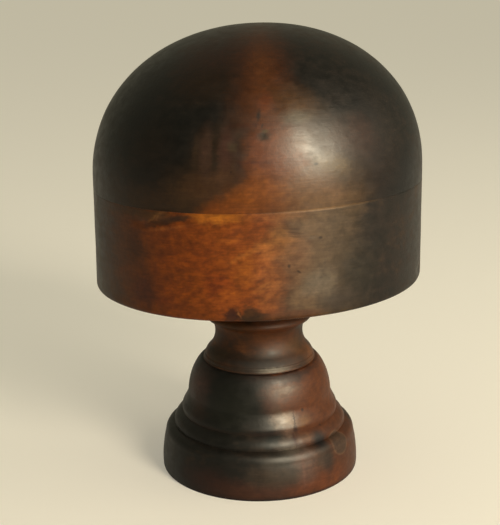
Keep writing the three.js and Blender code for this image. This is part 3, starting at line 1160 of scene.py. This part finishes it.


# Turned hardwood under dark varnish that hands have rubbed down. It looks almost black on the left,
# red-brown where the varnish is thin on the right, and has a soft, broad gloss on the bell and bead.
# Its paler patches on the drum's shoulder, the bead, the grooves, the flare and the bell are painted
# highlight, and the dark band round its bottom edge is painted shadow.
FOOT_WOOD = OldWood(
    "varnished_hardwood_foot", ground="#0a0805", shade="#050503", glow="#24170c", seed=11.0,
    roughness=0.50,
    marks=(
        Mark(-19.9, 46.0, 17.0, 15.0, "#080b04", 0.8, blur=0.7),
        Mark(-63.6, 53.0, 12.0, 11.0, "#3a2420", 0.9, blur=0.8),
        Mark(-55.7, 42.0, 8.0, 8.0, "#241208", 0.7, blur=0.8),
        Mark(57.8, 50.0, 38.0, 20.0, "#53290c", blur=0.24, edge=Edge.RAGGED, figure=0.14),
        Mark(8.6, 48.0, 4.0, 6.0, "#3a1d12", 0.5, blur=0.9),
        Mark(62.3, 30.0, 34.0, 8.0, "#522a12", 0.95, blur=0.3, figure=0.12),
        Mark(58.5, 16.0, 34.0, 18.0, "#4a2610", 0.95, blur=0.35, figure=0.12),
        Mark(-30.8, 8.0, 19.0, 9.0, "#210d07", 0.9, blur=0.8),
        Mark(14.3, 4.5, 42.0, 8.0, "#3f2012", 0.9, blur=0.8, edge=Edge.RAGGED),
        Mark(38.9, 5.0, 24.0, 8.0, "#592b0d", 0.9, blur=0.7, edge=Edge.RAGGED, figure=0.1),
        Mark(10.4, 14.0, 18.0, 7.0, "#33261a", 0.8, blur=0.7),
        # Painted highlight: greyish patches on the drum's shoulder, where the key light's highlight falls.
        Mark(13.9, 21.5, 14.0, 4.5, "#34312c", 0.7, blur=0.7),
        Mark(26.6, 21.0, 8.0, 5.0, "#5a4840", 0.8, blur=0.7),
        Mark(28.0, 14.0, 7.0, 8.0, "#54382c", 0.7, blur=0.8),
        Mark(41.3, 20.0, 7.5, 8.0, "#33261c", 0.85, blur=0.7),
        Mark(9.6, 30.0, 8.0, 2.5, "#1b2324", 0.7, blur=0.8),
        # Painted highlight: a paler patch on the bead, where its highlight falls.
        Mark(16.8, 30.0, 4.5, 2.2, "#4c3f36", 0.8, blur=0.8),
        Mark(32.3, 30.0, 6.0, 2.4, "#5c3a20", 0.7, blur=0.8),
        # Painted highlight: a pale grey patch on the bell's flare, where its highlight falls.
        Mark(19.1, 39.0, 6.5, 4.5, "#8c7c6c", 0.85, blur=0.9, edge=Edge.RAGGED, figure=0.2, dullness=-0.05),
        Mark(12.6, 43.0, 4.0, 7.0, "#4a3628", 0.6, blur=0.8),
        Mark(33.1, 38.0, 6.0, 3.0, "#6e4824", 0.7, blur=0.8),
        # Painted highlight: paler patches on the bell where its highlight falls, with more figure and a
        # little added roughness.
        Mark(21.1, 55.0, 9.0, 3.4, "#58402f", 0.8, blur=0.8, edge=Edge.RAGGED, figure=0.4, dullness=0.06),
        Mark(22.4, 55.6, 6.5, 1.8, "#7c685a", 0.55, blur=0.8, edge=Edge.FAINT),
        Mark(22.7, 60.8, 17.0, 2.8, "#1e0a04", 0.8),
        Mark(33.1, 62.3, 30.0, 1.8, "#220d06", 0.6),
        Mark(9.0, 34.4, 13.0, 1.5, "#140403", 0.5),
        # Painted highlight: paler patches in the grooves over and under the bead, where the highlights
        # spread.
        Mark(20.5, 34.8, 6.5, 3.0, "#664c3e", 0.8, blur=1.0),
        Mark(20.0, 26.0, 7.5, 2.2, "#5a5148", 0.75, blur=1.0),
        Mark(36.5, 24.4, 6.5, 1.3, "#2a1c14", 0.6, blur=0.8),
        Mark(26.4, 34.6, 1.4, 2.4, "#220603", 0.8, blur=0.8, edge=Edge.FAINT),
        Mark(23.8, 29.5, 0.7, 4.0, "#2f0c04", 0.75, blur=0.9, edge=Edge.FAINT),
        Mark(26.5, 39.5, 0.6, 5.0, "#260b04", 0.8, blur=0.9, lean=-3.0, edge=Edge.FAINT),
        Mark(25.4, 14.5, 1.2, 8.5, "#664236", 0.45, blur=0.9, lean=2.0, edge=Edge.FAINT),
        Mark(35.1, 43.3, 1.0, 1.0, "#1c0804", 0.85, edge=Edge.CLEAN),
        Mark(42.0, 27.0, 5.4, 4.8, "#0d0e12", 0.9, blur=0.7, edge=Edge.FAINT),
        Mark(43.5, 14.0, 4.6, 8.0, "#221a17", 0.55, blur=0.9, edge=Edge.FAINT),
        # Painted shadow: a dark band round the bottom edge, where the foot meets the floor.
        Mark(8.0, 0.0, 96.0, 2.0, "#0d0705", 0.85, blur=1.0, edge=Edge.CLEAN),
        Mark(56.8, 21.8, 7.6, 6.4, "#7a5f4a", 0.3, blur=0.1, edge=Edge.CLEAN),
        Mark(56.8, 21.8, 6.9, 5.8, "#2f2219", 0.75, blur=0.2, edge=Edge.CLEAN),
        Mark(128.0, 20.0, 30.0, 16.0, "#4c2810", 0.8, blur=0.5, edge=Edge.RAGGED),
        Mark(-125.0, 44.0, 20.0, 20.0, "#46240e", 0.7, blur=0.5, edge=Edge.RAGGED),
    ),
    rings=(
        Ring(33.6, 1.3, "#2a160d", 0.35, 0.3),
        Ring(25.6, 0.8, "#17120d", 0.45, 0.3),
    ),
)
# The same hardwood and varnish, gripped and wiped more, so it looks browner and duller, with a pale
# highlight painted on the ring and painted shade in the corner above the collar bead.
NECK_WOOD = OldWood(
    "varnished_hardwood_neck", ground="#3a1f0b", shade="#1f150a", glow="#552f10", seed=21.0,
    cloud_size=26.0, roughness=0.56,
    marks=(
        Mark(23.3, 79.5, 17.0, 5.5, "#532a09", 0.8, blur=0.7),
        Mark(49.8, 74.0, 9.0, 6.0, "#563616", 0.7, blur=0.8),
        Mark(-16.5, 70.0, 26.0, 3.4, "#20150b", 0.8),
        Mark(-53.8, 70.0, 8.0, 5.0, "#32271b", 0.8, blur=0.7),
        Mark(6.0, 68.0, 30.0, 2.2, "#140b06", 0.75, blur=0.7, edge=Edge.FAINT, dullness=0.2),
        Mark(-55.9, 79.0, 8.0, 8.0, "#2c1403", 0.7, blur=0.8),
        Mark(24.0, 88.0, 22.0, 4.0, "#52290f", 0.8),
        Mark(76.0, 68.5, 9.0, 5.0, "#6e4426", 0.7, blur=0.9),
        Mark(-22.0, 65.1, 19.0, 1.9, "#18110b", 0.7, blur=0.8, edge=Edge.FAINT),
        Mark(34.0, 69.5, 9.0, 3.2, "#3a1f0e", 0.6, blur=0.9, edge=Edge.FAINT),
        # Painted highlight: a pale patch on the fillet ring, where its highlight falls.
        Mark(15.0, 65.1, 9.0, 1.5, "#777063", 0.7, blur=0.9, edge=Edge.FAINT),
    ),
    rings=(
        Ring(65.0, 1.6, "#2c2118", 0.5, 0.2),
        Ring(88.8, 3.4, "#38220f", 0.7, 0.2),
        # Painted shade: a dark ring in the corner above the collar bead, under the block's rim.
        Ring(92.8, 0.8, "#120c08", 0.6, 0.3),
    ),
)
# Turned hardwood whose varnish has worn thin on one side. It looks orange-brown and mottled there,
# grey-brown towards the right, and dark with a few worn patches behind, with chips along the rim.
BAND_WOOD = OldWood(
    "varnished_hardwood_band", ground="#1b110a", shade="#120d07", glow="#30200f", seed=3.0, slope=SLOPE,
    roughness=0.46, patina_depth=0.2, figure_size=3.0, figure_lean=12.0,
    marks=(
        Mark(-38.6, 138.0, 36.0, 60.0, "#472204", 0.95, blur=0.7, edge=Edge.RAGGED),
        Mark(-20.0, 138.0, 38.0, 60.0, "#652d02", 0.95, blur=0.8, edge=Edge.RAGGED, figure=0.35),
        Mark(-6.4, 138.0, 27.0, 60.0, "#763803", 0.85, blur=0.8, edge=Edge.RAGGED, figure=0.45),
        Mark(18.6, 138.0, 18.0, 60.0, "#5a432c", 0.95, blur=0.7, edge=Edge.RAGGED),
        Mark(26.4, 138.0, 14.0, 60.0, "#42321f", 0.8, blur=0.8),
        Mark(33.5, 132.0, 14.0, 18.0, "#191409", 0.8, blur=0.8),
        Mark(10.3, 143.0, 8.0, 14.0, "#684428", 0.6, blur=0.8, edge=Edge.RAGGED, figure=0.1),
        Mark(20.0, 130.0, 9.0, 9.0, "#5a5044", 0.7, blur=0.8, edge=Edge.RAGGED),
        Mark(-37.3, 163.0, 20.0, 3.2, "#3d2203", 0.8, blur=0.7),
        Mark(-12.2, 164.0, 16.0, 3.6, "#985812", 0.9, blur=0.8, figure=0.3),
        Mark(5.8, 151.0, 8.0, 9.0, "#7c5322", 0.6, blur=0.9, edge=Edge.RAGGED, figure=0.2),
        Mark(1.3, 163.4, 12.0, 2.6, "#763d10", 0.6, blur=0.8, edge=Edge.STREAKED),
        Mark(-2.6, 146.6, 10.0, 1.8, "#8e551c", 0.65, blur=0.9, lean=26.0, figure=0.2),
        Mark(-3.9, 138.5, 6.5, 8.0, "#8e4c0b", 0.75, blur=0.9, edge=Edge.RAGGED, figure=0.3),
        Mark(-8.4, 124.0, 6.5, 6.0, "#904a0a", 0.75, blur=0.9, edge=Edge.RAGGED, figure=0.3),
        Mark(3.2, 130.0, 7.0, 2.4, "#865122", 0.7, blur=0.8, lean=14.0, figure=0.2),
        Mark(-8.4, 153.0, 9.0, 1.8, "#87460c", 0.6, blur=0.8, lean=4.0, figure=0.1),
        Mark(-12.9, 131.0, 7.0, 7.0, "#672702", 0.55, blur=0.8, edge=Edge.RAGGED),
        Mark(-18.0, 141.0, 9.0, 6.0, "#6f3002", 0.5, blur=0.8, edge=Edge.RAGGED),
        Mark(-29.6, 141.0, 10.0, 3.0, "#6e3203", 0.5, blur=0.8, lean=14.0, edge=Edge.RAGGED),
        Mark(-28.3, 126.0, 11.0, 3.0, "#703303", 0.5, blur=0.8, lean=12.0, edge=Edge.RAGGED),
        Mark(0.3, 132.4, 4.5, 0.8, "#4c2006", 0.7, blur=0.9, lean=28.0, edge=Edge.FAINT),
        Mark(2.3, 129.8, 4.0, 0.6, "#4c2006", 0.6, blur=0.9, lean=34.0, edge=Edge.FAINT),
        Mark(5.2, 134.5, 3.0, 0.7, "#52260a", 0.6, blur=0.9, lean=30.0, edge=Edge.FAINT),
        Mark(1.0, 125.6, 5.0, 0.8, "#522408", 0.6, blur=0.9, lean=22.0, edge=Edge.FAINT),
        Mark(-39.9, 124.0, 9.0, 8.0, "#35140a", 0.7, blur=0.7, edge=Edge.RAGGED),
        Mark(-31.5, 121.0, 6.0, 2.4, "#4a1900", 0.6, blur=0.8, lean=14.0),
        Mark(-43.1, 146.0, 6.0, 9.0, "#341000", 0.6, blur=0.8),
        Mark(-32.5, 163.2, 7.5, 2.6, "#53351a", 0.6, blur=0.9, lean=18.0),
        Mark(-30.3, 160.5, 13.0, 1.9, "#331a05", 0.85, lean=12.0),
        Mark(-24.8, 162.7, 6.0, 1.6, "#2d1807", 0.8, blur=0.7, lean=8.0, edge=Edge.FAINT),
        Mark(-29.0, 157.4, 13.0, 1.0, "#7c451b", 0.55, blur=1.0, lean=10.0, edge=Edge.FAINT),
        Mark(-35.4, 161.2, 4.0, 0.8, "#6c4519", 0.45, blur=1.0, lean=38.0),
        Mark(-32.8, 162.6, 3.4, 0.7, "#6c4622", 0.45, blur=1.0, lean=44.0),
        Mark(-30.6, 164.4, 3.2, 0.6, "#704824", 0.4, blur=1.0, lean=30.0),
        Mark(11.6, 114.4, 16.0, 2.8, "#4a270d", 0.85, blur=0.5, edge=Edge.STREAKED),
        Mark(-0.6, 113.8, 15.0, 2.4, "#2c1506", 0.85),
        Mark(-8.8, 115.4, 4.6, 3.2, "#280d03", 0.9, blur=0.5, lean=8.0, edge=Edge.RAGGED),
        Mark(-3.0, 115.6, 5.4, 3.6, "#2b1a08", 0.85, blur=0.5, lean=-6.0, edge=Edge.RAGGED),
        Mark(-6.2, 116.2, 0.6, 2.9, "#8a5a30", 0.6, blur=0.9, lean=18.0, edge=Edge.FAINT),
        Mark(19.6, 151.7, 1.1, 0.8, "#1c0c05", 0.8, blur=0.8, edge=Edge.CLEAN),
        Mark(9.5, 139.1, 0.9, 1.1, "#1f0e06", 0.8, blur=0.8, edge=Edge.CLEAN),
        Mark(12.6, 136.0, 1.5, 0.6, "#1f0e06", 0.8, blur=0.8, lean=-35.0, edge=Edge.CLEAN),
        Mark(10.3, 157.2, 4.0, 0.4, "#3c220c", 0.6, blur=0.9, lean=-6.0, edge=Edge.CLEAN),
        Mark(11.6, 155.2, 4.5, 0.4, "#3c220c", 0.6, blur=0.9, lean=-10.0, edge=Edge.CLEAN),
        Mark(10.9, 153.4, 3.5, 0.35, "#3c220c", 0.5, blur=0.9, lean=-8.0, edge=Edge.CLEAN),
        # Painted highlight: a pale line along the band's top edge, where the seam's ledge catches the light.
        Mark(20.0, 165.2, 27.0, 0.45, "#96724c", 0.4, blur=0.95, edge=Edge.CLEAN),
        Mark(3.2, 130.0, 7.5, 17.0, "#8a5226", 0.45, blur=0.8, edge=Edge.RAGGED, figure=0.4),
        Mark(26.0, 119.0, 13.0, 7.0, "#261b12", 0.75, blur=0.8),
        Mark(-44.0, 164.0, 24.0, 3.2, "#24180c", 0.6, blur=1.0),
        Mark(-43.0, 143.0, 12.0, 13.0, "#2e1a0a", 0.5, blur=1.0),
        Mark(3.5, 147.0, 9.0, 6.0, "#9a5a26", 0.4, blur=0.9, edge=Edge.RAGGED, figure=0.35),
        Mark(31.0, 163.0, 8.0, 5.0, "#54402a", 0.5, blur=0.9),
        Mark(-9.0, 121.5, 10.0, 5.0, "#6a2f06", 0.5, blur=0.9, edge=Edge.RAGGED),
        Mark(8.0, 164.0, 12.0, 4.0, "#8a5a30", 0.4, blur=0.9),
        Mark(-14.5, 147.5, 9.0, 4.0, "#5a2503", 0.5, blur=0.9, edge=Edge.RAGGED),
        Mark(128.0, 140.0, 34.0, 24.0, "#55290a", 0.85, blur=0.4, edge=Edge.RAGGED, figure=0.25),
        Mark(-118.0, 132.0, 30.0, 20.0, "#44200a", 0.8, blur=0.5, edge=Edge.RAGGED, figure=0.2),
        Mark(160.0, 124.0, 16.0, 10.0, "#5a4430", 0.6, blur=0.7, edge=Edge.RAGGED),
    ),
    rings=(
        Ring(112.6, 1.6, "#120c07", 0.5, 0.8),
    ),
)
# Turned hardwood under thick, dark varnish polished by handling. It looks near black at the sides
# with a warm streak down the front, and has the sharpest gloss of the varnished pieces.
DOME_WOOD = OldWood(
    "varnished_hardwood_dome", ground="#0b0704", shade="#040302", glow="#1a1009", seed=3.0, slope=SLOPE,
    roughness=0.43,
    marks=(
        Mark(-13.3, 236.0, 30.0, 14.0, "#1f0a02", 0.9, blur=0.8),
        Mark(-18.7, 224.0, 22.0, 9.0, "#1a0c01", 0.8, blur=0.8),
        Mark(-33.0, 169.0, 44.0, 11.0, "#281604", 0.8, blur=1.0),
        Mark(-37.4, 194.0, 17.0, 14.0, "#120903", 0.8, blur=0.8),
        Mark(-20.5, 176.0, 17.0, 12.0, "#33200c", 0.8, blur=1.0),
        Mark(2.8, 229.0, 14.0, 22.0, "#381802", 0.9, blur=0.8),
        Mark(2.6, 225.0, 7.5, 17.0, "#492405", 0.85, blur=0.9),
        Mark(4.4, 210.0, 19.0, 16.0, "#482202", 0.9, blur=0.9, figure=0.1),
        Mark(14.5, 214.0, 14.0, 8.0, "#432a06", 0.65, blur=1.0, lean=-22.0),
        Mark(5.3, 190.0, 17.5, 17.0, "#5a2902", 0.95, blur=0.35, figure=0.12),
        Mark(-5.6, 170.5, 23.5, 9.0, "#663306", 0.95, blur=0.45, lean=20.0, figure=0.16),
        Mark(5.2, 174.0, 24.0, 12.0, "#663404", 0.9, edge=Edge.RAGGED, figure=0.12),
        Mark(1.3, 175.5, 15.0, 6.0, "#6e3903", 0.7, blur=0.8, lean=6.0, edge=Edge.RAGGED, figure=0.12),
        Mark(3.1, 216.0, 4.0, 5.0, "#5e2a08", 0.6, blur=0.9),
        Mark(19.3, 175.0, 22.0, 14.0, "#5c3f24", 0.85, blur=0.7),
        Mark(31.6, 178.0, 13.0, 14.0, "#3b2a17", 0.8, blur=0.8),
        Mark(24.5, 172.0, 6.0, 4.0, "#684a34", 0.5, blur=0.9),
        Mark(40.8, 183.0, 17.0, 21.0, "#1b0d06", 0.7, blur=0.9),
        Mark(23.5, 169.0, 21.0, 6.0, "#5c4226", 0.6, blur=1.0),
        Mark(46.0, 209.0, 13.0, 10.0, "#080402", 0.6, blur=1.0),
        Mark(35.3, 198.0, 12.0, 10.0, "#321808", 0.6, blur=0.8),
        Mark(14.0, 199.0, 11.0, 9.0, "#45301f", 0.6, blur=0.9),
        Mark(25.8, 196.0, 10.0, 10.0, "#331a05", 0.7, blur=0.9),
        # Painted highlight: a grey patch above the gloss's highlight and a pale yellowish one below and right
        # of it.
        Mark(14.4, 208.5, 8.0, 3.2, "#544d40", 0.65, blur=0.9),
        Mark(23.6, 187.0, 10.0, 5.0, "#5c4a2c", 0.6, blur=0.9, lean=-16.0),
        Mark(49.0, 196.0, 12.0, 22.0, "#1c1208", 0.6, blur=0.9),
        Mark(-11.9, 191.0, 15.0, 16.0, "#281808", 0.8, blur=0.55),
        Mark(-15.5, 178.0, 13.0, 8.0, "#3c2410", 0.8, blur=0.8),
        Mark(-8.8, 184.0, 6.0, 8.0, "#4c2c14", 0.4, blur=0.9, edge=Edge.RAGGED),
        Mark(-16.4, 194.0, 3.8, 13.0, "#38241a", 0.85, blur=0.8, lean=2.0, edge=Edge.FAINT),
        Mark(-9.8, 196.0, 4.6, 10.0, "#3d2118", 0.8, blur=0.8, edge=Edge.FAINT),
        Mark(-8.1, 196.5, 2.4, 2.6, "#3b321f", 0.6, blur=0.9, edge=Edge.FAINT),
        Mark(-19.8, 195.0, 1.8, 9.0, "#2c1d10", 0.7, blur=0.9, edge=Edge.FAINT),
        Mark(-13.4, 195.0, 1.5, 11.0, "#1d1003", 0.7, blur=0.9, edge=Edge.FAINT),
        Mark(-5.7, 190.5, 1.6, 6.0, "#2c0e02", 0.45, blur=0.9, edge=Edge.FAINT),
        Mark(-2.1, 206.2, 10.0, 0.9, "#351202", 0.5, blur=0.9, edge=Edge.FAINT),
        Mark(-0.7, 189.6, 9.0, 0.8, "#431802", 0.45, blur=0.9, lean=-2.0, edge=Edge.FAINT),
        Mark(2.3, 201.3, 3.1, 2.7, "#151204", 0.9, blur=1.0, edge=Edge.FAINT),
        Mark(2.7, 203.4, 1.8, 0.9, "#4a4426", 0.5, blur=0.9, edge=Edge.CLEAN),
        Mark(0.5, 210.2, 1.1, 2.4, "#180b03", 0.9, blur=0.9, lean=-8.0, edge=Edge.CLEAN),
        Mark(1.7, 205.8, 0.6, 1.3, "#22140a", 0.75, blur=0.9, lean=-20.0, edge=Edge.CLEAN),
        Mark(18.3, 187.3, 1.3, 0.8, "#120a05", 0.95, blur=0.8, edge=Edge.CLEAN),
        # Painted highlight: a pale line along the dome's foot, where the seam's ledge catches the light.
        Mark(20.0, 165.7, 29.0, 0.45, "#96724c", 0.4, blur=0.95, edge=Edge.CLEAN),
        Mark(134.0, 182.0, 34.0, 18.0, "#3c1f08", 0.8, blur=0.5, edge=Edge.RAGGED, figure=0.2),
        Mark(-118.0, 196.0, 26.0, 24.0, "#2c180a", 0.7, edge=Edge.RAGGED),
    ),
)
# Sawn and turned hardwood that was never varnished, gone dull grey-brown.
UNDERSIDE_WOOD = BareWood("bare_hardwood_underside", "#7d5f42", "#4a3524", (60.0, 1.6, 60.0))
# Turned beech burnished by the block, so it is smooth, tan and slightly waxy.
PEG_BEECH = BareWood("burnished_beech", "#a98257", "#7a5836", (1.1, 1.1, 30.0), 0.38, 0.15)
# Plain beech dowel, pale, matt and straight in the grain.
DOWEL_BEECH = BareWood("bare_beech", "#c7a273", "#a47e4f", (1.1, 1.1, 26.0))
# Split oak, yellow-brown and matt, with open grain.
WEDGE_OAK = BareWood("bare_oak", "#9b7a4e", "#6e5230", (1.4, 1.4, 24.0))


def main() -> None:
    """Build the stand and its studio."""
    logging.basicConfig(level=logging.INFO, format="%(message)s")
    Studio().build()
    for part in (Pedestal(), Peg(), Crown()):
        part.build()


if __name__ == "__main__":
    main()
